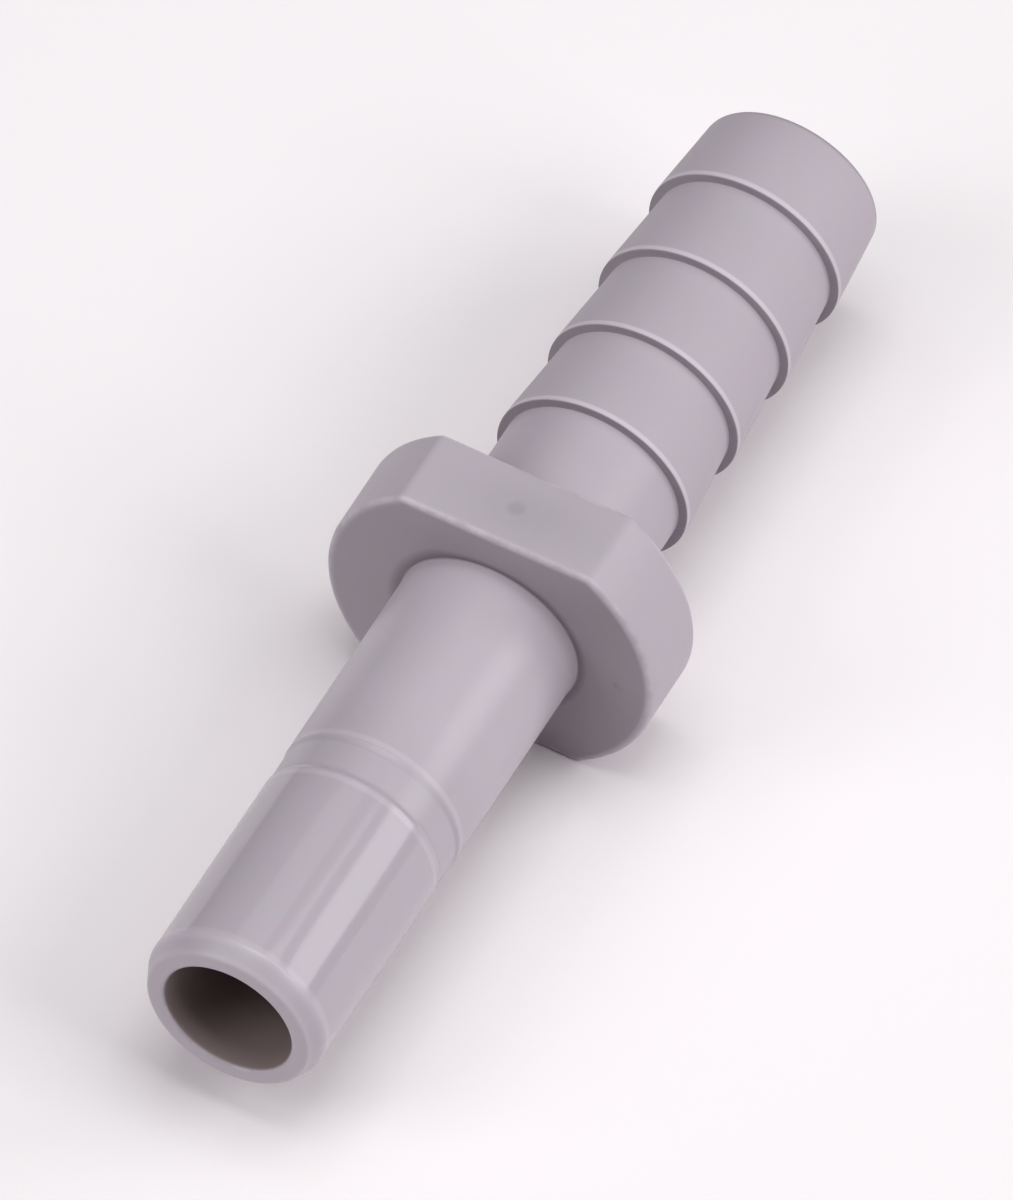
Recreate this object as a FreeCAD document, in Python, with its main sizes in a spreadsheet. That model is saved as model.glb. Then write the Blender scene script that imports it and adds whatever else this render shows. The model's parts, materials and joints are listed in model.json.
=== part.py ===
"""A one-piece moulded adaptor from a push-fit stem to a barbed hose tail.

The piece lies on a spanner flat with its bore along X. The stem points to -X, the hose tail to +X and the
flats face +Z and -Z. The origin is on the bore's axis, in the plane of the collar's stop face, where a
push-fit body ends when the stem is home.
"""
import FreeCAD
import Part
import math
import os

import Sketcher

DOCUMENT_NAME = "HoseAdaptor"
BODY_NAME = "hose_adaptor"
PARTS_FOLDER = "parts"

# Lengths closer than this, in millimetres, count as the same.
NEAR = 1e-4
# The most of a wall's thickness that one end rounding may take.
WALL_SHARE = 0.45
# How fast a barb grows toward its crest, and the tail's radius at its outer end.
BARB_SLOPE = "((Sizes.barb_dia - Sizes.tail_core_dia) / 2 / Sizes.barb_pitch)"
TIP_END_RADIUS = f"(Sizes.barb_dia / 2 - Sizes.tip_length * {BARB_SLOPE})"

# Driving dimensions: alias, value, what it is. Lengths are millimetres.
DIMENSIONS = [
    ("stem_dia", 12.7, "outside of the plain stem, half-inch tube size"),
    ("stem_length", 35.4, "mouth of the stem to the collar's stop face"),
    ("bore_dia", 9.0, "flow bore, the same from end to end"),
    ("bore_edge_radius", 0.35, "rounding where the bore opens at each end"),
    ("lead_in_length", 1.4, "taper at the mouth that guides the stem past a seal"),
    ("lead_in_depth", 0.65, "how far the taper goes in from the stem's outside"),
    ("grip_band_start", 16.4, "mouth to the near edge of the grip band"),
    ("grip_band_width", 3.0, "grip band, along the stem"),
    ("grip_band_depth", 0.2, "grip band, below the stem's outside"),
    ("collar_dia", 23.4, "round outside of the collar"),
    ("collar_width", 6.0, "collar, along the bore"),
    ("flats_across", 19.0, "spanner size over the two flats"),
    ("collar_edge_radius", 0.4, "rounding of the collar's outer edges"),
    ("tail_core_dia", 12.3, "hose tail under and between the barbs"),
    ("barb_dia", 13.7, "crest of each barb"),
    ("barb_count", 4, "barbs, the last one being the tail's tip"),
    ("barb_pitch", 6.95, "crest to crest"),
    ("barb_start", 8.1, "collar to the first crest"),
    ("tip_length", 6.65, "last crest to the end of the tail"),
    ("tip_edge_radius", 0.4, "rounding of the tail's outer end"),
]


def make_sheet(doc):
    """Write the driving dimensions, one to a row, with an alias for each."""
    sheet = doc.addObject("Spreadsheet::Sheet", "Sizes")
    for row, (alias, value, note) in enumerate(DIMENSIONS, start=1):
        sheet.set(f"A{row}", alias)
        sheet.set(f"B{row}", str(value))
        sheet.set(f"C{row}", note)
        sheet.setAlias(f"B{row}", alias)
    doc.recompute()
    return sheet


def origin_feature(body, role):
    """The body's own origin plane or axis with this role, such as XY_Plane."""
    for feature in body.Origin.OriginFeatures:
        if feature.Role == role:
            return feature
    raise RuntimeError(f"{body.Label} has no {role}")


def new_sketch(body, name, plane, offset=None):
    """A sketch on one of the body's origin planes, moved along its normal by an expression."""
    sketch = body.newObject("Sketcher::SketchObject", name)
    sketch.AttachmentSupport = (origin_feature(body, plane), [""])
    sketch.MapMode = "FlatFace"
    if offset:
        sketch.setExpression("AttachmentOffset.Base.z", offset)
    return sketch


def drive(sketch, constraint, name, expression):
    """Add a constraint and tie its value to the sheet."""
    index = sketch.addConstraint(constraint)
    sketch.renameConstraint(index, name)
    sketch.setExpression(f"Constraints.{name}", expression)


def circle_sketch(body, name, diameter, offset=None):
    """A circle about the bore's axis, on the plane across it."""
    sketch = new_sketch(body, name, "YZ_Plane", offset)
    origin = FreeCAD.Vector(0, 0, 0)
    normal = FreeCAD.Vector(0, 0, 1)
    circle = sketch.addGeometry(Part.Circle(origin, normal, 1.0))
    sketch.addConstraint(Sketcher.Constraint("Coincident", circle, 3, -1, 1))
    drive(sketch, Sketcher.Constraint("Diameter", circle, 1.0), "dia", diameter)
    return sketch


def profile_sketch(body, name, plane, corners):
    """A closed outline whose corners each have two expressions, along the sketch's own axes.

    Each corner starts on a circle, in order, so that the outline is closed and doesn't cross itself, and
    the expressions then move it to its place.
    """
    sketch = new_sketch(body, name, plane)
    count = len(corners)
    start = [
        FreeCAD.Vector(math.cos(2 * math.pi * k / count), math.sin(2 * math.pi * k / count), 0)
        for k in range(count)
    ]
    for k in range(count):
        sketch.addGeometry(Part.LineSegment(start[k], start[(k + 1) % count]))
    for k in range(count):
        sketch.addConstraint(Sketcher.Constraint("Coincident", k, 2, (k + 1) % count, 1))
    for k, (along, across) in enumerate(corners):
        along_rule = Sketcher.Constraint("DistanceX", -1, 1, k, 1, start[k].x)
        across_rule = Sketcher.Constraint("DistanceY", -1, 1, k, 1, start[k].y)
        drive(sketch, along_rule, f"along{k}", along)
        drive(sketch, across_rule, f"across{k}", across)
    return sketch


def pad(body, name, sketch, length, towards_mouth=False):
    """Raise a sketch along the bore."""
    feature = body.newObject("PartDesign::Pad", name)
    feature.Profile = sketch
    feature.setExpression("Length", length)
    feature.Reversed = towards_mouth
    body.Document.recompute()
    return feature


def turned(body, kind, name, sketch):
    """Turn a profile once round the bore's axis, as a Revolution or as a Groove."""
    feature = body.newObject(f"PartDesign::{kind}", name)
    feature.Profile = sketch
    feature.ReferenceAxis = (origin_feature(body, "X_Axis"), [""])
    feature.Angle = 360.0
    body.Document.recompute()
    return feature


def reach(edge):
    """How far the edge's first vertex stands from the bore's axis."""
    point = edge.Vertexes[0]
    return math.hypot(point.Y, point.Z)


def lies_at(edge, along):
    """Whether the whole edge lies in the plane across the bore at this place."""
    box = edge.BoundBox
    return abs(box.XMin - along) < NEAR and abs(box.XMax - along) < NEAR


def rounded(body, name, radius, is_wanted):
    """Round the edges of the body so far that the test picks."""
    base = body.Tip
    edges = [f"Edge{k}" for k, edge in enumerate(base.Shape.Edges, start=1) if is_wanted(edge)]
    if not edges:
        raise RuntimeError(f"{name} found no edge to round")
    feature = body.newObject("PartDesign::Fillet", name)
    feature.Base = (base, edges)
    feature.setExpression("Radius", radius)
    body.Document.recompute()
    return feature


def make_stem(body):
    """The plain stem, its lead-in and its grip band."""
    stem_sketch = circle_sketch(body, "StemSketch", "Sizes.stem_dia")
    pad(body, "Stem", stem_sketch, "Sizes.stem_length", towards_mouth=True)

    mouth = "-Sizes.stem_length"
    outside = "Sizes.stem_dia / 2"
    lead_in_sketch = profile_sketch(body, "LeadInSketch", "XZ_Plane", [
        (mouth, f"{outside} - Sizes.lead_in_depth"),
        (f"{mouth} + Sizes.lead_in_length", outside),
        (f"{mouth} + Sizes.lead_in_length", f"{outside} + Sizes.lead_in_depth"),
        (mouth, f"{outside} + Sizes.lead_in_depth"),
    ])
    turned(body, "Groove", "LeadIn", lead_in_sketch)

    band_start = f"{mouth} + Sizes.grip_band_start"
    band_end = f"{band_start} + Sizes.grip_band_width"
    band_sketch = profile_sketch(body, "GripBandSketch", "XZ_Plane", [
        (band_start, f"{outside} - Sizes.grip_band_depth"),
        (band_end, f"{outside} - Sizes.grip_band_depth"),
        (band_end, f"{outside} + Sizes.grip_band_depth"),
        (band_start, f"{outside} + Sizes.grip_band_depth"),
    ])
    turned(body, "Groove", "GripBand", band_sketch)


def make_collar(body):
    """The round collar, a flat cut on top and the same cut mirrored below."""
    collar_sketch = circle_sketch(body, "CollarSketch", "Sizes.collar_dia")
    pad(body, "Collar", collar_sketch, "Sizes.collar_width")

    half_width = "Sizes.collar_dia / 2"
    half_flats = "Sizes.flats_across / 2"
    flat_sketch = profile_sketch(body, "FlatSketch", "YZ_Plane", [
        (f"-{half_width}", half_flats),
        (half_width, half_flats),
        (half_width, half_width),
        (f"-{half_width}", half_width),
    ])
    flat = body.newObject("PartDesign::Pocket", "FlatTop")
    flat.Profile = flat_sketch
    flat.setExpression("Length", "Sizes.collar_width")
    flat.Reversed = True
    body.Document.recompute()

    flats = body.newObject("PartDesign::Mirrored", "FlatBottom")
    flats.Originals = [flat]
    flats.MirrorPlane = (origin_feature(body, "XY_Plane"), [""])
    body.Tip = flats
    body.Document.recompute()


def round_collar(body, sheet):
    """Round every outer edge of the collar: both rims and the corners beside the flats."""
    half_flats = sheet.flats_across / 2

    def on_collar_rim(edge):
        box = edge.BoundBox
        within_width = box.XMin > -NEAR and box.XMax < sheet.collar_width + NEAR
        return within_width and reach(edge) > half_flats - NEAR

    rounded(body, "CollarEdges", "Sizes.collar_edge_radius", on_collar_rim)


def make_tail(body):
    """The hose tail: a core, full barbs one pitch apart, and the tip, which is the last barb."""
    first_crest = "Sizes.collar_width + Sizes.barb_start"
    last_crest = f"{first_crest} + (Sizes.barb_count - 1) * Sizes.barb_pitch"
    core_radius = "Sizes.tail_core_dia / 2"
    crest_radius = "Sizes.barb_dia / 2"

    core_sketch = circle_sketch(body, "TailCoreSketch", "Sizes.tail_core_dia", "Sizes.collar_width")
    pad(body, "TailCore", core_sketch, f"{last_crest} - Sizes.collar_width")

    barb_sketch = profile_sketch(body, "BarbSketch", "XZ_Plane", [
        (first_crest, "0"),
        (f"{first_crest} + Sizes.barb_pitch", "0"),
        (f"{first_crest} + Sizes.barb_pitch", core_radius),
        (first_crest, crest_radius),
    ])
    barb = turned(body, "Revolution", "Barb", barb_sketch)
    barbs = body.newObject("PartDesign::LinearPattern", "Barbs")
    barbs.Originals = [barb]
    barbs.Direction = (origin_feature(body, "X_Axis"), [""])
    barbs.setExpression("Occurrences", "Sizes.barb_count - 1")
    barbs.setExpression("Length", "(Sizes.barb_count - 2) * Sizes.barb_pitch")
    body.Tip = barbs
    body.Document.recompute()

    tip_end = f"{last_crest} + Sizes.tip_length"
    tip_sketch = profile_sketch(body, "TipSketch", "XZ_Plane", [
        (last_crest, "0"),
        (tip_end, "0"),
        (tip_end, TIP_END_RADIUS),
        (last_crest, crest_radius),
    ])
    turned(body, "Revolution", "Tip", tip_sketch)


def make_bore(body):
    """The flow bore, cut from the mouth of the stem to the end of the tail."""
    bore_sketch = circle_sketch(body, "BoreSketch", "Sizes.bore_dia", "-Sizes.stem_length")
    bore = body.newObject("PartDesign::Pocket", "Bore")
    bore.Profile = bore_sketch
    tail = "Sizes.barb_start + (Sizes.barb_count - 1) * Sizes.barb_pitch + Sizes.tip_length"
    bore.setExpression("Length", f"Sizes.stem_length + Sizes.collar_width + {tail}")
    bore.Reversed = True
    body.Document.recompute()


def round_ends(body, sheet):
    """Round the outside of the tail's end, then the bore's edge at both ends.

    Each radius is the sheet's, or a share of the wall beside it where that wall is thin.
    """
    bore_radius = sheet.bore_dia / 2
    mouth = -sheet.stem_length
    tip_end = sheet.collar_width + sheet.barb_start + (sheet.barb_count - 1) * sheet.barb_pitch
    tip_end += sheet.tip_length

    def on_tip_end(edge):
        return lies_at(edge, tip_end) and reach(edge) > bore_radius + NEAR

    def on_bore_end(edge):
        at_an_end = lies_at(edge, mouth) or lies_at(edge, tip_end)
        return at_an_end and reach(edge) < bore_radius + NEAR

    tip_wall = f"({TIP_END_RADIUS} - Sizes.bore_dia / 2)"
    mouth_wall = "(Sizes.stem_dia / 2 - Sizes.lead_in_depth - Sizes.bore_dia / 2)"
    tip_edge = f"min(Sizes.tip_edge_radius; {WALL_SHARE} * {tip_wall})"
    bore_edge = f"min(Sizes.bore_edge_radius; {WALL_SHARE} * {tip_wall}; {WALL_SHARE} * {mouth_wall})"
    rounded(body, "TipEdge", tip_edge, on_tip_end)
    rounded(body, "BoreEdges", bore_edge, on_bore_end)


def make_adaptor(doc, sheet):
    """The whole moulding, built from the stem to the tail."""
    body = doc.addObject("PartDesign::Body", BODY_NAME)
    body.Label = BODY_NAME
    body.Placement = FreeCAD.Placement()
    make_stem(body)
    make_collar(body)
    round_collar(body, sheet)
    make_tail(body)
    make_bore(body)
    round_ends(body, sheet)
    return body


def check(doc, bodies):
    """Stop if any object failed to compute, or a body isn't one valid solid."""
    for item in doc.Objects:
        if "Invalid" in item.State or "Error" in item.State:
            raise RuntimeError(f"{item.Label} did not compute: {item.State}")
    for body in bodies:
        shape = body.Shape
        if shape.isNull() or not shape.isValid() or len(shape.Solids) != 1:
            raise RuntimeError(f"{body.Label} is not one valid solid")


def main():
    doc = FreeCAD.newDocument(DOCUMENT_NAME)
    sheet = make_sheet(doc)
    bodies = [make_adaptor(doc, sheet)]
    doc.recompute()
    check(doc, bodies)

    os.makedirs(PARTS_FOLDER, exist_ok=True)
    for body in bodies:
        body.Shape.exportStep(os.path.join(PARTS_FOLDER, f"{body.Label}.step"))
        box = body.Shape.optimalBoundingBox(False, False)
        print(f"{body.Label}: {body.Shape.Volume:.1f} mm3, "
              f"{box.XLength:.2f} x {box.YLength:.2f} x {box.ZLength:.2f} mm")


main()
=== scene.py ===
"""Looks of a moulded stem to hose-tail adaptor, laid out as an add-on and run as a script.

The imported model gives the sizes. One operator makes the moulding's finished surface and its material, and
another makes the floor, the lights and the camera.
"""
import json
import math

import bpy
import numpy as np
from mathutils import Matrix, Vector


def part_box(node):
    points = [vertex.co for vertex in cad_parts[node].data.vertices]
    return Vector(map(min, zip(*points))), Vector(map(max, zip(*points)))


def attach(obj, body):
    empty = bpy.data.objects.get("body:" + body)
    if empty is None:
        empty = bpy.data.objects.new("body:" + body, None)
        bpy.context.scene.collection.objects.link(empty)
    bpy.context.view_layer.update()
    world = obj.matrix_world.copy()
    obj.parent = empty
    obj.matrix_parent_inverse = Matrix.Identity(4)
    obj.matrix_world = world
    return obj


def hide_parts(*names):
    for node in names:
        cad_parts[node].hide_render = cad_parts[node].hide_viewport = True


bl_info = {
    "name": "Hose Adaptor",
    "version": (1, 0, 0),
    "blender": (4, 5, 0),
    "location": "View3D > Sidebar > Adaptor",
    "description": "Makes a moulded stem to hose-tail adaptor and a studio stage for it",
    "category": "Add Mesh",
}

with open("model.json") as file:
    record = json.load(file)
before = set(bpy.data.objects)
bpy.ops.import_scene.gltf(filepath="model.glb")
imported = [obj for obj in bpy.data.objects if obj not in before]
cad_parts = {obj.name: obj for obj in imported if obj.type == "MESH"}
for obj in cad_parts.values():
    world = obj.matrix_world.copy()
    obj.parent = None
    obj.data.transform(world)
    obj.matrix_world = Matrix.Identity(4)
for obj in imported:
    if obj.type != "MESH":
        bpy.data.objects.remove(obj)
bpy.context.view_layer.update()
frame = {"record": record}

BODY = "root"
NODE = "hose_adaptor"
PIECE = "hose_adaptor_moulding"
MM = 0.001

MOUNTS = {mount["name"]: mount for mount in frame["record"]["mounts"]}
LOW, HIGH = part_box(NODE)


# ---------------------------------------------------------------------------------------------------------
# What a user can change
# ---------------------------------------------------------------------------------------------------------

def length(name, description, default):
    """A length property in metres."""
    return bpy.props.FloatProperty(
        name=name, description=description, default=default, unit="LENGTH", subtype="DISTANCE", precision=5
    )


def angle(name, description, degrees):
    """An angle property, given in degrees."""
    return bpy.props.FloatProperty(
        name=name, description=description, default=math.radians(degrees), unit="ROTATION", subtype="ANGLE"
    )


def share(name, description, default):
    """A number from 0 to 1."""
    return bpy.props.FloatProperty(
        name=name, description=description, default=default, min=0.0, max=1.0, subtype="FACTOR"
    )


def colour(name, description, default):
    """A linear colour."""
    return bpy.props.FloatVectorProperty(
        name=name, description=description, default=default, size=3, min=0.0, max=1.0, subtype="COLOR"
    )


class AdaptorSizes(bpy.types.PropertyGroup):
    """Sizes of the moulding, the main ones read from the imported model."""

    stem_radius: length("Stem radius", "Outside of the plain stem", MOUNTS["stem"]["dims"]["r_mm"] * MM)
    bore_radius: length("Bore radius", "Flow bore", MOUNTS["flow_bore"]["dims"]["r_mm"] * MM)
    collar_radius: length("Collar radius", "Round outside of the collar", min(HIGH.y, -LOW.y))
    collar_width: length("Collar width", "Collar along the bore", MOUNTS["hose_stop_face"]["pos_m"][0])
    flat_height: length("Flat height", "Axis to a spanner flat", MOUNTS["spanner_flat_top"]["pos_m"][2])
    mouth: length("Mouth", "Place of the stem's open end", LOW.x)
    tail_end: length("Tail end", "Place of the tail's open end", HIGH.x)
    lead_in: length("Lead-in", "Taper at the mouth, along the stem", 1.4 * MM)
    lead_in_depth: length("Lead-in depth", "Taper at the mouth, into the wall", 0.65 * MM)
    band_start: length("Grip band start", "Mouth to the grip band", 16.4 * MM)
    band_width: length("Grip band width", "Grip band along the stem", 3.0 * MM)
    band_depth: length("Grip band depth", "Grip band below the stem", 0.1 * MM)
    core_radius: length("Tail core radius", "Tail under the barbs", 6.25 * MM)
    barb_radius: length("Barb radius", "Crest of each barb", 6.85 * MM)
    barb_start: length("Barb start", "Collar to the first crest", 8.1 * MM)
    barb_pitch: length("Barb pitch", "Crest to crest", 6.95 * MM)
    barb_count: bpy.props.IntProperty(name="Barbs", description="Crests on the tail", default=4, min=1)
    crest_land: length("Crest land", "Narrow straight band behind each crest", 0.4 * MM)
    bore_edge: length("Bore edge radius", "Rounding at both ends of the bore", 0.35 * MM)
    collar_edge: length("Collar edge radius", "Rounding of the collar's rims", 0.4 * MM)
    tip_edge: length("Tail edge radius", "Rounding of the tail's outer end", 0.4 * MM)
    gate_radius: length("Gate mark radius", "Round mark in the middle of the top flat", 0.6 * MM)
    gate_depth: length("Gate mark depth", "How far the mark lies below the flat", 0.04 * MM)
    pin_radius: length("Pin mark radius", "Small pit on the stop face", 0.42 * MM)
    pin_depth: length("Pin mark depth", "How deep the pit is", 0.12 * MM)


class AdaptorFinish(bpy.types.PropertyGroup):
    """Colour and surface of the plastic."""

    plastic: colour("Plastic", "Mauve-grey acetal", (0.438, 0.378, 0.443))
    plastic_patch: colour("Plastic patch", "Slightly greener patches in the plastic", (0.426, 0.390, 0.430))
    # Painted highlight on rounded edges, crests and the grip band, and a painted sheen on the stem.
    painted_highlight: colour("Worn edge", "Paler plastic where an edge is rubbed", (0.56, 0.50, 0.565))
    # Painted shade in the corners, on the crests' steps, round the tail's rim, in the marks and on the stop
    # face.
    painted_shade: colour("Grime", "Dust held in the inside corners", (0.16, 0.135, 0.15))
    stain: colour("Stain", "Grey-green stain round the gate mark", (0.24, 0.24, 0.24))
    # Painted shade: the inside of the bore is made darker.
    bore: colour("Bore", "Stained plastic inside the bore", (0.28, 0.22, 0.215))
    roughness: share("Roughness", "Roughness of the barbs", 0.58)
    tip_roughness: share("Tip roughness", "Roughness of the polished tip of the stem", 0.13)


class StageSettings(bpy.types.PropertyGroup):
    """Camera and lights."""

    azimuth: angle("Azimuth", "Direction that the camera looks in, clockwise from +Y", 64.74)
    elevation: angle("Elevation", "How far the camera looks down", 52.49)
    roll: angle("Roll", "Turn of the camera about its own line of sight", 3.2)
    distance: length("Distance", "Camera to the point that it looks at", 2.542)
    lens: bpy.props.FloatProperty(name="Lens", description="Focal length in millimetres", default=1200.0)
    aim: bpy.props.FloatVectorProperty(
        name="Aim", description="Point that the camera looks at", default=(0.00274, 0.00016, 0.0),
        size=3, subtype="TRANSLATION", unit="LENGTH"
    )
    floor: colour("Floor", "Pale floor", (0.90, 0.86, 0.88))
    softbox_size: length("Softbox size", "Side of each square softbox", 0.4)
    dome_radius: length("Dome radius", "Softboxes to the middle of the object", 0.8)


# ---------------------------------------------------------------------------------------------------------
# The moulding's surface
# ---------------------------------------------------------------------------------------------------------

# Spacing of the points along the outline.
ARC_POINTS = 5
WIDE_STEP = 2.0 * MM
COLLAR_STEP = 0.2 * MM
BAND_STEP = 0.3 * MM

# Small roundings and slopes that have no size of their own.
CRISP = 0.06 * MM
SOFT = 0.12 * MM
MOUTH_ROUNDING = 3 * SOFT
TAPER_ROUNDING = 6 * SOFT
BAND_RAMP = 0.35 * MM
CORNER_SHARPNESS = 35.0 / MM

# Angles about the bore, and how they crowd at the gate mark.
ANGLES = 320
FINE_ANGLES = 7201
GATE_CROWDING = 3.5
GATE_SPREAD = math.radians(6.0)
LEAST_SINE = 1e-3

# How far beyond the collar's own points its stretch is felt.
COLLAR_MARGIN = 0.5 * MM
ROOT_MARGIN = 0.2 * MM

# The gate mark and the pit, as shares of their radii and of the mark's depth.
GATE_REACH = 2.0
RECESS_START = 0.45
RECESS_SLOPE = 0.9
NUB_HEIGHT = 0.5
NUB_REACH = 0.5
PIT_REACH = 3.0

# How many times more painted shade the pit gets than the gate mark.
PIT_SHADE = 3.2

# How far from a flat or a face still counts as on it.
ON_FLAT = 0.05 * MM
ON_FACE = 0.01 * MM

# Darkening of the stop face, strongest low down and at the stem's root. It isn't dirt on the piece: it
# stands in for shade that the softboxes don't give.
FACE_LEAST = 0.45
FACE_TOP = 4.0 * MM
FACE_FADE = 10.0 * MM
ROOT_FADE = 0.8 * MM

# The stain on the top flat: its reach along and across the bore, and its shift across.
STAIN_ALONG = 2.6 * MM
STAIN_ACROSS = 4.6 * MM
STAIN_SHIFT = 1.0 * MM
NEAR_FLAT = 0.2 * MM
NEAR_BORE = 0.05 * MM


def first_crest(s):
    """Place of the crest nearest the collar."""
    return s.collar_width + s.barb_start


def outline_corners(s):
    """Corners of the half section, in order, as (along, from axis, rounding, next run's step, look).

    They run from the bore at the mouth, over the stem, the collar and the tail, to the bore at the tail's
    end. Each corner is where two straight runs would meet if it weren't rounded. The look says which mask
    its rounding gets: "pale" for a painted highlight, "dark" for painted shade, or "face" when the run
    after it is the stop face.
    """
    band_floor = s.stem_radius - s.band_depth
    band_start = s.mouth + s.band_start
    band_end = band_start + s.band_width
    corners = [
        (s.mouth, s.bore_radius, s.bore_edge, WIDE_STEP, "pale"),
        (s.mouth, s.stem_radius - s.lead_in_depth, MOUTH_ROUNDING, WIDE_STEP, ""),
        (s.mouth + s.lead_in, s.stem_radius, TAPER_ROUNDING, WIDE_STEP, ""),
        (band_start, s.stem_radius, SOFT, WIDE_STEP, ""),
        (band_start + BAND_RAMP, band_floor, SOFT, BAND_STEP, ""),
        (band_end - BAND_RAMP, band_floor, SOFT, WIDE_STEP, ""),
        (band_end, s.stem_radius, SOFT, WIDE_STEP, ""),
        (0.0, s.stem_radius, SOFT, COLLAR_STEP, "face"),
        (0.0, s.collar_radius, s.collar_edge, COLLAR_STEP, "pale"),
        (s.collar_width, s.collar_radius, s.collar_edge, COLLAR_STEP, "pale"),
        (s.collar_width, s.core_radius, SOFT, WIDE_STEP, "dark"),
    ]
    slope = (s.barb_radius - s.core_radius) / (s.barb_pitch - s.crest_land)
    for k in range(s.barb_count):
        crest = first_crest(s) + k * s.barb_pitch
        corners.append((crest, s.core_radius, CRISP, WIDE_STEP, "dark"))
        corners.append((crest, s.barb_radius, CRISP, WIDE_STEP, ""))
        corners.append((crest + s.crest_land, s.barb_radius, SOFT, WIDE_STEP, ""))
    tip_radius = s.barb_radius - slope * (s.tail_end - crest - s.crest_land)
    corners.append((s.tail_end, tip_radius, s.tip_edge, WIDE_STEP, "dark"))
    corners.append((s.tail_end, s.bore_radius, s.bore_edge, WIDE_STEP, ""))
    return corners


def rounded_outline(corners):
    """The closed outline with its corners rounded, as the arrays along, from_axis, pale, dark and face.

    A corner's arc touches both runs. It starts rounding / tan(half the inside angle) from the corner, and
    its centre lies on the inside angle's bisector, rounding / sin(half the inside angle) from the corner.
    """
    points = np.array([corner[:2] for corner in corners])
    arcs = []
    for k, here in enumerate(points):
        rounding = corners[k][2]
        back = points[k - 1] - here
        ahead = points[(k + 1) % len(corners)] - here
        back /= np.linalg.norm(back)
        ahead /= np.linalg.norm(ahead)
        half = 0.5 * math.acos(float(np.clip(back @ ahead, -1.0, 1.0)))
        bisector = (back + ahead) / np.linalg.norm(back + ahead)
        centre = here + bisector * rounding / math.sin(half)
        start = here + back * rounding / math.tan(half) - centre
        end = here + ahead * rounding / math.tan(half) - centre
        turn = math.atan2(start[0] * end[1] - start[1] * end[0], start @ end)
        t = np.linspace(0.0, turn, ARC_POINTS)
        arcs.append(centre + np.stack(
            [start[0] * np.cos(t) - start[1] * np.sin(t), start[0] * np.sin(t) + start[1] * np.cos(t)], axis=1
        ))

    rows = []
    rise = np.linspace(0.0, 1.0, ARC_POINTS)
    bow = np.sqrt(np.sin(math.pi * rise).clip(0.0))
    for k, arc in enumerate(arcs):
        step, look = corners[k][3:]
        following = arcs[(k + 1) % len(arcs)][0]
        count = max(int(np.linalg.norm(following - arc[-1]) / step), 1)
        run = arc[-1] + (following - arc[-1]) * np.arange(1, count)[:, None] / count
        masks = [bow * (look == "pale"), bow * (look == "dark"), rise * (look == "face")]
        rows.append(np.column_stack([arc, *masks]))
        none = np.zeros(len(run))
        rows.append(np.column_stack([run, none, none, none + (look == "face")]))
    return np.concatenate(rows).T


def angles_around():
    """Angles about the bore, closer together at the gate mark, with no sudden change in their spacing.

    Their density is 1 + crowding exp(-(angle from the top / spread)^2). The running sum of the density is
    cut into equal shares, and each share has one angle.
    """
    fine = np.linspace(-math.pi, math.pi, FINE_ANGLES)
    density = 1.0 + GATE_CROWDING * np.exp(-((fine - math.pi / 2) / GATE_SPREAD) ** 2)
    running_sum = np.concatenate([[0.0], np.cumsum(0.5 * (density[1:] + density[:-1]))])
    return np.interp(np.linspace(0.0, running_sum[-1], ANGLES, endpoint=False), running_sum, fine)


def collar_reach(around, s):
    """How far the collar's outline is from the axis at each angle.

    It is the lesser of the round radius and flat height / |sin angle|, blended so that their corner is
    rounded: minus the log of the sum of both exponentials.
    """
    flat = s.flat_height / np.maximum(np.abs(np.sin(around)), LEAST_SINE)
    both = np.exp(-CORNER_SHARPNESS * (s.collar_radius - s.flat_height)) + np.exp(
        -CORNER_SHARPNESS * (np.minimum(flat, 2 * s.collar_radius) - s.flat_height)
    )
    return s.flat_height - np.log(both) / CORNER_SHARPNESS


def smooth_step(value):
    """0 below 0, 1 above 1, and 3 t^2 - 2 t^3 between."""
    t = np.clip(value, 0.0, 1.0)
    return t * t * (3.0 - 2.0 * t)


def spread(row_values, around):
    """The same value for every column of a row."""
    return np.repeat(row_values[:, None], len(around), axis=1)


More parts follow.
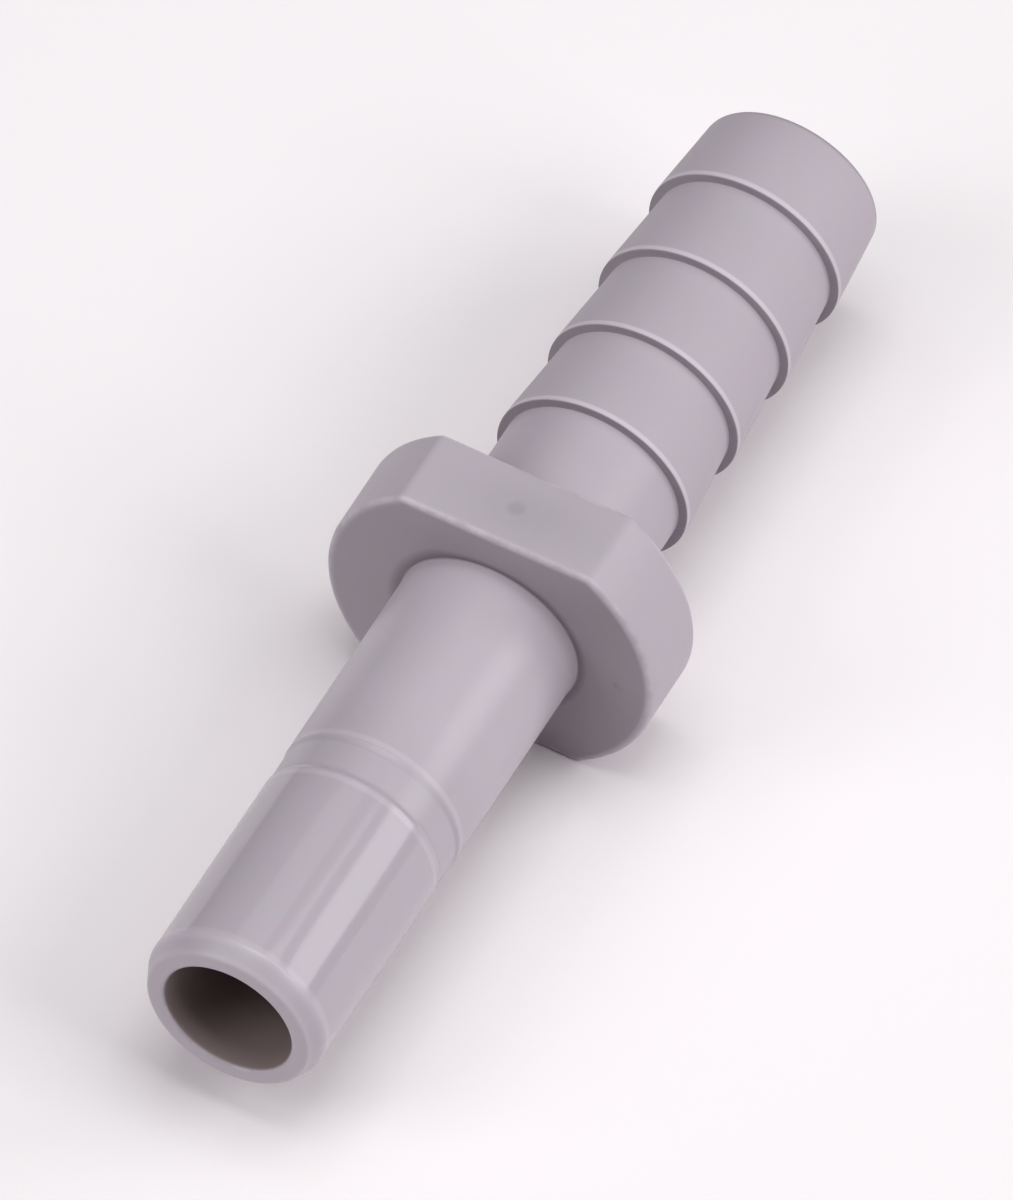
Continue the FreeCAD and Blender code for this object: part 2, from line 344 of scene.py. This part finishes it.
def moulding_points(s):
    """Points of the whole skin as a grid of rows along the outline and columns about the bore.

    A point is (along, from_axis cos angle, from_axis sin angle). On the collar, from_axis is stretched
    between the root and the outline so that the rim follows the flats. The gate mark is a round recess
    with a small nub, and the pin mark is a round pit.
    """
    along, from_axis, pale, dark, face = rounded_outline(outline_corners(s))
    around = angles_around()
    x = spread(along, around)
    root = np.where(along < s.collar_width / 2, s.stem_radius, s.core_radius)
    beside_collar = (along > -COLLAR_MARGIN) & (along < s.collar_width + COLLAR_MARGIN)
    on_collar = beside_collar & (from_axis > root + ROOT_MARGIN)
    climb = np.clip((from_axis - root) / (s.collar_radius - s.collar_edge - root), 0.0, 1.0)
    pull = np.where(on_collar, climb, 0.0)
    r = from_axis[:, None] + pull[:, None] * (collar_reach(around, s)[None, :] - s.collar_radius)

    y = r * np.cos(around)
    z = r * np.sin(around)

    gate_distance = np.hypot(x - s.collar_width / 2, y) / s.gate_radius
    on_top = (z > s.flat_height - ON_FLAT) & (gate_distance < GATE_REACH)
    recess = 1.0 - smooth_step((gate_distance - RECESS_START) / RECESS_SLOPE)
    nub = NUB_HEIGHT * (1.0 - smooth_step(gate_distance / NUB_REACH))
    z = z - np.where(on_top, s.gate_depth * (recess - nub), 0.0)

    pin_from_axis = 0.5 * (s.stem_radius + s.collar_radius)
    pin_distance = np.hypot(y + pin_from_axis, z) / s.pin_radius
    on_stop_face = (np.abs(x) < ON_FACE) & (pin_distance < PIT_REACH)
    pit = np.exp(-pin_distance ** 2)
    x = x + np.where(on_stop_face, s.pin_depth * pit, 0.0)

    lower = smooth_step((FACE_TOP - y - 0.5 * z) / FACE_FADE)
    face_shade = FACE_LEAST + (1.0 - FACE_LEAST) * lower
    # Painted shade in a ring on the stop face round the stem's root.
    root_shade = face * np.exp(-((from_axis - s.stem_radius) / ROOT_FADE) ** 2)
    in_bore = (from_axis < s.bore_radius + NEAR_BORE).astype(float)
    stain_distance = np.hypot((x - s.collar_width / 2) / STAIN_ALONG, (y + STAIN_SHIFT) / STAIN_ACROSS)
    on_flat = z > s.flat_height - NEAR_FLAT
    # Pale is painted highlight on edges; dark, root and face are painted shade; mark is painted shade in the
    # gate mark and the pit; the inside of the bore is given painted shade.
    masks = {
        "pale": spread(pale, around),
        "dark": spread(dark, around),
        "face": spread(face, around) * face_shade,
        "root": spread(root_shade, around),
        "bore": spread(in_bore, around),
        "mark": np.where(on_top, recess, 0.0) + np.where(on_stop_face, PIT_SHADE * pit, 0.0),
        "stain": np.where(on_flat, np.exp(-stain_distance ** 2), 0.0),
    }
    return np.stack([x, y, z], axis=-1), masks


def grid_mesh(name, points, masks):
    """A closed skin from a grid whose rows and columns both join up, with a float attribute for each mask."""
    rows, columns = points.shape[:2]
    index = np.arange(rows * columns).reshape(rows, columns)
    next_row = np.roll(index, -1, axis=0)
    next_column = np.roll(index, -1, axis=1)
    next_both = np.roll(next_row, -1, axis=1)
    quads = np.stack([index, next_column, next_both, next_row], axis=-1).reshape(-1, 4)

    mesh = bpy.data.meshes.new(name)
    mesh.vertices.add(rows * columns)
    mesh.vertices.foreach_set("co", points.reshape(-1).astype(np.float32))
    mesh.loops.add(quads.size)
    mesh.loops.foreach_set("vertex_index", quads.reshape(-1).astype(np.int32))
    mesh.polygons.add(len(quads))
    mesh.polygons.foreach_set("loop_start", np.arange(0, quads.size, 4, dtype=np.int32))
    mesh.polygons.foreach_set("use_smooth", np.ones(len(quads), dtype=bool))
    for mask_name, values in masks.items():
        attribute = mesh.attributes.new(mask_name, "FLOAT", "POINT")
        attribute.data.foreach_set("value", values.reshape(-1).astype(np.float32))
    mesh.update()
    mesh.validate()
    return mesh


# ---------------------------------------------------------------------------------------------------------
# Materials
# ---------------------------------------------------------------------------------------------------------

# Scale, detail and roughness of each noise.
GRAIN_NOISE = (4200.0, 3.0, 0.6)
WAVE_NOISE = (190.0, 1.0, 0.4)
MOTTLE_NOISE = (420.0, 4.0, 0.6)
STREAK_NOISE = (900.0, 3.0, 0.55)
PATCH_NOISE = (600.0, 3.0, 0.6)
STREAK_STRETCH = (0.12, 1.0, 1.0)
MOTTLE_RANGE = (0.3, 0.7)
PATCH_RANGE = (0.35, 0.65)

# Lines round the piece: how strong each one is, and where it ends from its middle.
LINE = 0.3 * MM
SOLID_PART = 0.35
# The pale lines at the grip band, the mouth, the taper and the crests are painted highlights, and the sheen
# is a painted sheen on the stem.
BAND_PALE = 0.4
MOUTH_PALE, MOUTH_HALF = 0.3, 0.6 * MM
TAPER_PALE, TAPER_PLACE, TAPER_HALF = 0.35, 0.1 * MM, 0.6 * MM
PAINTED_SHEEN, PAINTED_SHEEN_RISE = 0.2, 5.0 * MM
CREST_PLACE, CREST_HALF = 0.23 * MM, 0.24 * MM
# The step lines and the tail's rim line are painted shade.
STEP_HALF = 0.08 * MM
TAIL_RIM_HALF = 0.5 * MM
TAIL_MARGIN = 0.02 * MM

# How well each stretch is polished.
MOUTH_POLISH, TIP_POLISH, STEM_POLISH = 0.55, 1.0, 0.55
COLLAR_POLISH, ROOT_POLISH, BARB_POLISH = 0.25, 0.3, 0.0

# How much painted shade each mask brings, and how much of the other colours.
PAINTED_SHADE_SHARES = {"dark": 0.55, "mark": 0.2, "root": 0.9, "face": 0.42}
BAND_SHADE = 0.1
STEP_SHADE = 0.4
STAIN_SHARE = 0.3
# Share of the painted highlight on the rounded edges.
EDGE_HIGHLIGHT_SHARE = 0.9

# The skin's relief and shine.
GRAIN_HEIGHT = 0.25
WAVE_HEIGHT = 1.0
BUMP_STRENGTH = 0.35
BUMP_HEIGHT = 0.02 * MM
STREAK_ROUGHNESS = 0.12
PLASTIC_IOR = 1.48
FLOOR_ROUGHNESS = 0.9
FLOOR_SHINE = 0.1


def new_group(name, inputs, outputs):
    """A shader node group with float inputs and outputs, and its group nodes."""
    group = bpy.data.node_groups.new(name, "ShaderNodeTree")
    for label, kind, default in inputs:
        socket = group.interface.new_socket(label, in_out="INPUT", socket_type=kind)
        if default is not None:
            socket.default_value = default
    for label, kind in outputs:
        group.interface.new_socket(label, in_out="OUTPUT", socket_type=kind)
    return group, group.nodes.new("NodeGroupInput"), group.nodes.new("NodeGroupOutput")


def noise(nodes, links, vector, settings):
    """A noise texture on the given coordinates, from its scale, detail and roughness."""
    node = nodes.new("ShaderNodeTexNoise")
    for label, value in zip(("Scale", "Detail", "Roughness"), settings):
        node.inputs[label].default_value = value
    links.new(vector, node.inputs["Vector"])
    return node.outputs["Fac"]


def math_node(nodes, links, operation, first, second):
    """A math node whose inputs are sockets or numbers."""
    node = nodes.new("ShaderNodeMath")
    node.operation = operation
    for socket, value in zip(node.inputs, (first, second)):
        if isinstance(value, bpy.types.NodeSocket):
            links.new(value, socket)
        else:
            socket.default_value = value
    return node.outputs["Value"]


def mould_texture_group():
    """Skin of a moulded part: fine spark-eroded grain, long flow streaks and slow sink waves."""
    group, entry, leave = new_group(
        "mould_texture",
        [("Vector", "NodeSocketVector", None), ("Grain", "NodeSocketFloat", 1.0),
         ("Waves", "NodeSocketFloat", 1.0)],
        [("Height", "NodeSocketFloat"), ("Mottle", "NodeSocketFloat"), ("Streaks", "NodeSocketFloat")],
    )
    nodes, links = group.nodes, group.links
    vector = entry.outputs["Vector"]
    grain = noise(nodes, links, vector, GRAIN_NOISE)
    waves = noise(nodes, links, vector, WAVE_NOISE)
    stretch = nodes.new("ShaderNodeMapping")
    stretch.inputs["Scale"].default_value = STREAK_STRETCH
    links.new(vector, stretch.inputs["Vector"])
    fine = math_node(nodes, links, "MULTIPLY", grain, entry.outputs["Grain"])
    slow = math_node(nodes, links, "MULTIPLY", waves, entry.outputs["Waves"])
    links.new(math_node(nodes, links, "ADD", fine, slow), leave.inputs["Height"])
    links.new(noise(nodes, links, vector, MOTTLE_NOISE), leave.inputs["Mottle"])
    links.new(noise(nodes, links, stretch.outputs["Vector"], STREAK_NOISE), leave.inputs["Streaks"])
    return group


def painted_edge_highlight_group():
    """Painted highlights on the rounded edges, broken up by noise."""
    group, entry, leave = new_group(
        "edge_wear",
        [("Vector", "NodeSocketVector", None), ("Edge", "NodeSocketFloat", 0.0)],
        [("Rub", "NodeSocketFloat")],
    )
    nodes, links = group.nodes, group.links
    patches = noise(nodes, links, entry.outputs["Vector"], PATCH_NOISE)
    broken = ranged(nodes, links, patches, PATCH_RANGE, (0.0, 1.0))
    highlight = math_node(nodes, links, "MULTIPLY", entry.outputs["Edge"], broken)
    links.new(highlight, leave.inputs["Rub"])
    return group


def attribute_value(nodes, name):
    """The value of one of the skin's masks."""
    node = nodes.new("ShaderNodeAttribute")
    node.attribute_name = name
    return node.outputs["Fac"]


def mix_colour(nodes, links, factor, first, second):
    """Two colours mixed by a factor; either may be a socket or a plain colour."""
    node = nodes.new("ShaderNodeMix")
    node.data_type = "RGBA"
    links.new(factor, node.inputs["Factor"])
    for socket, value in ((node.inputs["A"], first), (node.inputs["B"], second)):
        if isinstance(value, bpy.types.NodeSocket):
            links.new(value, socket)
        else:
            socket.default_value = (*value, 1.0)
    return node.outputs["Result"]


def ring_line(nodes, links, along, place, half_width):
    """A soft line round the piece: 1 at this place along the bore, 0 at half_width from it."""
    offset = math_node(nodes, links, "ABSOLUTE", math_node(nodes, links, "SUBTRACT", along, place), 0.0)
    return ranged(nodes, links, offset, (half_width, SOLID_PART * half_width), (0.0, 1.0), smooth=True)


def ranged(nodes, links, value, given, wanted, smooth=False):
    """A value taken from one range to another and kept inside it."""
    node = nodes.new("ShaderNodeMapRange")
    node.interpolation_type = "SMOOTHSTEP" if smooth else "LINEAR"
    node.inputs["From Min"].default_value, node.inputs["From Max"].default_value = given
    node.inputs["To Min"].default_value, node.inputs["To Max"].default_value = wanted
    links.new(value, node.inputs["Value"])
    return node.outputs["Result"]


def ring_lines_group(s):
    """Lines round the piece: painted highlights where an edge stands proud, painted shade in the corners of
    the grip band, and a painted sheen on the stem towards the collar.

    Step is painted shade on the crests' steps and on the tail's rim. Polish is how well the mould was
    polished: most at the tip of the stem, least on the barbs.
    """
    group, entry, leave = new_group(
        "ring_lines",
        [("Along", "NodeSocketFloat", 0.0)],
        [("Pale", "NodeSocketFloat"), ("Dark", "NodeSocketFloat"), ("Step", "NodeSocketFloat"),
         ("Polish", "NodeSocketFloat")],
    )
    nodes, links = group.nodes, group.links
    along = entry.outputs["Along"]
    band_start = s.mouth + s.band_start
    band_end = band_start + s.band_width

    def line(place, half_width, strength=1.0, of=along):
        """A ring line of this strength."""
        return math_node(nodes, links, "MULTIPLY", ring_line(nodes, links, of, place, half_width), strength)

    def strongest(*values):
        """The greatest of several values."""
        most = values[0]
        for value in values[1:]:
            most = math_node(nodes, links, "MAXIMUM", most, value)
        return most

    past_first = math_node(nodes, links, "SUBTRACT", along, first_crest(s))
    past_crest = nodes.new("ShaderNodeMath")
    past_crest.operation = "WRAP"
    links.new(past_first, past_crest.inputs[0])
    past_crest.inputs[1].default_value = s.barb_pitch
    past_crest.inputs[2].default_value = 0.0
    past_crest = past_crest.outputs["Value"]
    on_tail = math_node(nodes, links, "GREATER_THAN", past_first, -TAIL_MARGIN)
    on_stem = math_node(nodes, links, "LESS_THAN", along, 0.0)
    crests = math_node(nodes, links, "MULTIPLY", line(CREST_PLACE, CREST_HALF, of=past_crest), on_tail)
    steps = math_node(nodes, links, "MULTIPLY", line(0.0, STEP_HALF, of=past_crest), on_tail)
    # A painted sheen on the stem, from the grip band towards the collar.
    past_band = (band_end, band_end + PAINTED_SHEEN_RISE)
    painted_sheen = ranged(nodes, links, along, past_band, (0.0, PAINTED_SHEEN), smooth=True)
    painted_sheen = math_node(nodes, links, "MULTIPLY", painted_sheen, on_stem)

    taper_end = s.mouth + s.lead_in
    # Painted highlights on the crests, the grip band's edges, the mouth and the taper, with the painted
    # sheen.
    pale = strongest(
        crests, painted_sheen, line(band_start - LINE, LINE, BAND_PALE), line(band_end + LINE, LINE, BAND_PALE),
        line(s.mouth, MOUTH_HALF, MOUTH_PALE), line(taper_end + TAPER_PLACE, TAPER_HALF, TAPER_PALE),
    )
    links.new(pale, leave.inputs["Pale"])
    # Painted shade in the grip band's corners, on the crests' steps and round the tail's rim.
    links.new(strongest(line(band_start + LINE, LINE), line(band_end - LINE, LINE)), leave.inputs["Dark"])
    links.new(strongest(steps, line(s.tail_end, TAIL_RIM_HALF)), leave.inputs["Step"])

    stops = (
        (s.mouth, MOUTH_POLISH), (taper_end, MOUTH_POLISH), (taper_end + LINE, TIP_POLISH),
        (band_start, TIP_POLISH), (band_start + LINE, STEM_POLISH), (-LINE, STEM_POLISH),
        (0.0, COLLAR_POLISH), (s.collar_width, ROOT_POLISH), (first_crest(s) - LINE, ROOT_POLISH),
        (first_crest(s), BARB_POLISH),
    )
    ramp = nodes.new("ShaderNodeValToRGB")
    ramp.color_ramp.interpolation = "LINEAR"
    elements = ramp.color_ramp.elements
    while len(elements) < len(stops):
        elements.new(0.5)
    for element, (where, level) in zip(elements, stops):
        element.position = (where - s.mouth) / (s.tail_end - s.mouth)
        element.color = (level, level, level, 1.0)
    links.new(ranged(nodes, links, along, (s.mouth, s.tail_end), (0.0, 1.0)), ramp.inputs["Fac"])
    links.new(ramp.outputs["Color"], leave.inputs["Polish"])
    return group


def acetal_material(s, finish):
    """Mauve-grey acetal: satin skin, a polished tip on the stem, painted highlights on edges, painted shade
    in corners.
    """
    material = bpy.data.materials.new("moulded_acetal")
    material.use_nodes = True
    nodes, links = material.node_tree.nodes, material.node_tree.links
    shader = nodes["Principled BSDF"]
    place = nodes.new("ShaderNodeTexCoord").outputs["Object"]
    split = nodes.new("ShaderNodeSeparateXYZ")
    links.new(place, split.inputs["Vector"])

    skin = nodes.new("ShaderNodeGroup")
    skin.node_tree = mould_texture_group()
    skin.inputs["Grain"].default_value = GRAIN_HEIGHT
    skin.inputs["Waves"].default_value = WAVE_HEIGHT
    links.new(place, skin.inputs["Vector"])
    edge_highlights = nodes.new("ShaderNodeGroup")
    edge_highlights.node_tree = painted_edge_highlight_group()
    links.new(place, edge_highlights.inputs["Vector"])
    links.new(attribute_value(nodes, "pale"), edge_highlights.inputs["Edge"])
    rings = nodes.new("ShaderNodeGroup")
    rings.node_tree = ring_lines_group(s)
    links.new(split.outputs["X"], rings.inputs["Along"])

    def scaled(value, strength):
        """A value times a plain number."""
        return math_node(nodes, links, "MULTIPLY", value, strength)

    tone = ranged(nodes, links, skin.outputs["Mottle"], MOTTLE_RANGE, (0.0, 1.0))
    body = mix_colour(nodes, links, tone, finish.plastic, finish.plastic_patch)
    stain = scaled(attribute_value(nodes, "stain"), STAIN_SHARE)
    stained = mix_colour(nodes, links, stain, body, finish.stain)
    # Painted highlights on the edges and the stem's painted sheen.
    pale = math_node(nodes, links, "MAXIMUM", scaled(edge_highlights.outputs["Rub"], EDGE_HIGHLIGHT_SHARE), rings.outputs["Pale"])
    highlit = mix_colour(nodes, links, pale, stained, finish.painted_highlight)
    # Painted shade in the corners, steps and marks, at the stem's root and on the stop face.
    painted_shade = scaled(rings.outputs["Dark"], BAND_SHADE)
    painted_shade = math_node(nodes, links, "MAXIMUM", scaled(rings.outputs["Step"], STEP_SHADE), painted_shade)
    for mask, strength in PAINTED_SHADE_SHARES.items():
        painted_shade = math_node(nodes, links, "MAXIMUM", scaled(attribute_value(nodes, mask), strength), painted_shade)
    with_painted_shade = mix_colour(nodes, links, painted_shade, highlit, finish.painted_shade)
    # The bore's darker colour is painted shade.
    bore = attribute_value(nodes, "bore")
    links.new(mix_colour(nodes, links, bore, with_painted_shade, finish.bore), shader.inputs["Base Color"])

    outside = math_node(nodes, links, "SUBTRACT", 1.0, bore)
    polish = math_node(nodes, links, "MULTIPLY", rings.outputs["Polish"], outside)
    satin = ranged(nodes, links, polish, (0.0, 1.0), (finish.roughness, finish.tip_roughness))
    streak = scaled(math_node(nodes, links, "SUBTRACT", skin.outputs["Streaks"], 0.5), STREAK_ROUGHNESS)
    links.new(math_node(nodes, links, "ADD", streak, satin), shader.inputs["Roughness"])

    bump = nodes.new("ShaderNodeBump")
    bump.inputs["Strength"].default_value = BUMP_STRENGTH
    bump.inputs["Distance"].default_value = BUMP_HEIGHT
    links.new(skin.outputs["Height"], bump.inputs["Height"])
    links.new(bump.outputs["Normal"], shader.inputs["Normal"])
    shader.inputs["IOR"].default_value = PLASTIC_IOR
    return material


def floor_material(floor_colour):
    """Plain pale matt floor."""
    material = bpy.data.materials.new("studio_floor")
    material.use_nodes = True
    shader = material.node_tree.nodes["Principled BSDF"]
    shader.inputs["Base Color"].default_value = (*floor_colour, 1.0)
    shader.inputs["Roughness"].default_value = FLOOR_ROUGHNESS
    shader.inputs["Specular IOR Level"].default_value = FLOOR_SHINE
    return material


# ---------------------------------------------------------------------------------------------------------
# Operators
# ---------------------------------------------------------------------------------------------------------

def add_object(name, data):
    """An object in the scene that holds this data."""
    item = bpy.data.objects.new(name, data)
    bpy.context.scene.collection.objects.link(item)
    return item


class ADAPTOR_OT_make_moulding(bpy.types.Operator):
    """Make the adaptor's finished skin and give it its plastic"""

    bl_idname = "adaptor.make_moulding"
    bl_label = "Make Moulding"

    def execute(self, context):
        sizes = context.scene.adaptor_sizes
        finish = context.scene.adaptor_finish
        if not sizes.bore_radius < sizes.core_radius < sizes.barb_radius < sizes.collar_radius:
            raise ValueError("the bore, the tail's core, the barbs and the collar must grow in that order")
        points, masks = moulding_points(sizes)
        moulding = add_object(PIECE, grid_mesh(PIECE, points, masks))
        moulding.data.materials.append(acetal_material(sizes, finish))
        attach(moulding, BODY)
        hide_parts(NODE)
        return {"FINISHED"}


FLOOR_REACH = 3.0
CLIP_END = 20.0

# Name, azimuth and elevation in degrees (azimuth clockwise from +Y), and power in watts. All the powers, and
# all the directions but the key light's, were picked by a least-squares fit in another program.
SOFTBOXES = (
    ("overhead", 0.0, 90.0, 1.9),
    ("key_right", 142.0, 27.0, 1.6),
    ("near_right", 180.0, 40.0, 1.9),
    ("near_right_low", 180.0, 15.0, 0.5),
    ("right_high", 144.0, 65.0, 1.0),
    ("far_left", 315.0, 40.0, 1.5),
    ("far_high", 0.0, 65.0, 0.7),
    ("far_right_high", 72.0, 65.0, 0.4),
    ("left_low", 288.0, 15.0, 0.5),
    ("left_high", 288.0, 65.0, 0.4),
)


class ADAPTOR_OT_make_stage(bpy.types.Operator):
    """Make the pale floor, the soft lights and the camera"""

    bl_idname = "adaptor.make_stage"
    bl_label = "Make Stage"

    def execute(self, context):
        stage = context.scene.adaptor_stage
        if stage.distance <= stage.dome_radius:
            raise ValueError("the camera must stand outside the dome of softboxes")
        self.make_floor(stage)
        self.make_lights(stage)
        self.make_dark_surround(context)
        self.make_camera(context, stage)
        return {"FINISHED"}

    def make_floor(self, stage):
        """A square of floor under the lower flat."""
        mesh = bpy.data.meshes.new("floor")
        signs = ((-1, -1), (1, -1), (1, 1), (-1, 1))
        corners = [(x * FLOOR_REACH, y * FLOOR_REACH, LOW.z) for x, y in signs]
        mesh.from_pydata(corners, [], [(0, 1, 2, 3)])
        floor = add_object("floor", mesh)
        mesh.materials.append(floor_material(stage.floor))

    def make_lights(self, stage):
        """Square softboxes on a dome, facing the middle of the object. There is no light from elsewhere."""
        for name, azimuth, elevation, power in SOFTBOXES:
            light = bpy.data.lights.new(name, "AREA")
            light.shape = "SQUARE"
            light.size = stage.softbox_size
            light.energy = power
            lamp = add_object(name, light)
            up, round_about = math.radians(elevation), math.radians(azimuth)
            towards = Vector((
                math.cos(up) * math.sin(round_about), math.cos(up) * math.cos(round_about), math.sin(up)
            ))
            facing = towards.to_track_quat("Z", "Y").to_matrix().to_4x4()
            lamp.matrix_world = Matrix.Translation(towards * stage.dome_radius) @ facing

    def make_dark_surround(self, context):
        """A black world, so that all light comes from the softboxes."""
        world = bpy.data.worlds.new("surround")
        world.use_nodes = True
        world.node_tree.nodes["Background"].inputs["Strength"].default_value = 0.0
        context.scene.world = world

    def make_camera(self, context, stage):
        """A long lens aimed at the collar from the stem's end."""
        camera = bpy.data.cameras.new("camera")
        camera.lens = stage.lens
        camera.clip_end = CLIP_END
        item = add_object("camera", camera)
        flat = math.cos(stage.elevation)
        line_of_sight = Vector((
            flat * math.sin(stage.azimuth), flat * math.cos(stage.azimuth), -math.sin(stage.elevation)
        ))
        turn = line_of_sight.to_track_quat("-Z", "Y").to_matrix().to_4x4()
        rolled = turn @ Matrix.Rotation(stage.roll, 4, "Z")
        item.matrix_world = Matrix.Translation(Vector(stage.aim) - line_of_sight * stage.distance) @ rolled
        context.scene.camera = item
        context.scene.view_settings.view_transform = "Standard"


class ADAPTOR_PT_panel(bpy.types.Panel):
    """Lists what can be made"""

    bl_idname = "ADAPTOR_PT_panel"
    bl_label = "Hose Adaptor"
    bl_space_type = "VIEW_3D"
    bl_region_type = "UI"
    bl_category = "Adaptor"

    def draw(self, context):
        for operator in OPERATORS:
            self.layout.operator(operator.bl_idname)


OPERATORS = (ADAPTOR_OT_make_moulding, ADAPTOR_OT_make_stage)
CLASSES = (AdaptorSizes, AdaptorFinish, StageSettings, *OPERATORS, ADAPTOR_PT_panel)


def register():
    for item in CLASSES:
        bpy.utils.register_class(item)
    bpy.types.Scene.adaptor_sizes = bpy.props.PointerProperty(type=AdaptorSizes)
    bpy.types.Scene.adaptor_finish = bpy.props.PointerProperty(type=AdaptorFinish)
    bpy.types.Scene.adaptor_stage = bpy.props.PointerProperty(type=StageSettings)


def unregister():
    del bpy.types.Scene.adaptor_stage
    del bpy.types.Scene.adaptor_finish
    del bpy.types.Scene.adaptor_sizes
    for item in reversed(CLASSES):
        bpy.utils.unregister_class(item)


def main():
    register()
    bpy.ops.adaptor.make_moulding()
    bpy.ops.adaptor.make_stage()


if __name__ == "__main__":
    main()
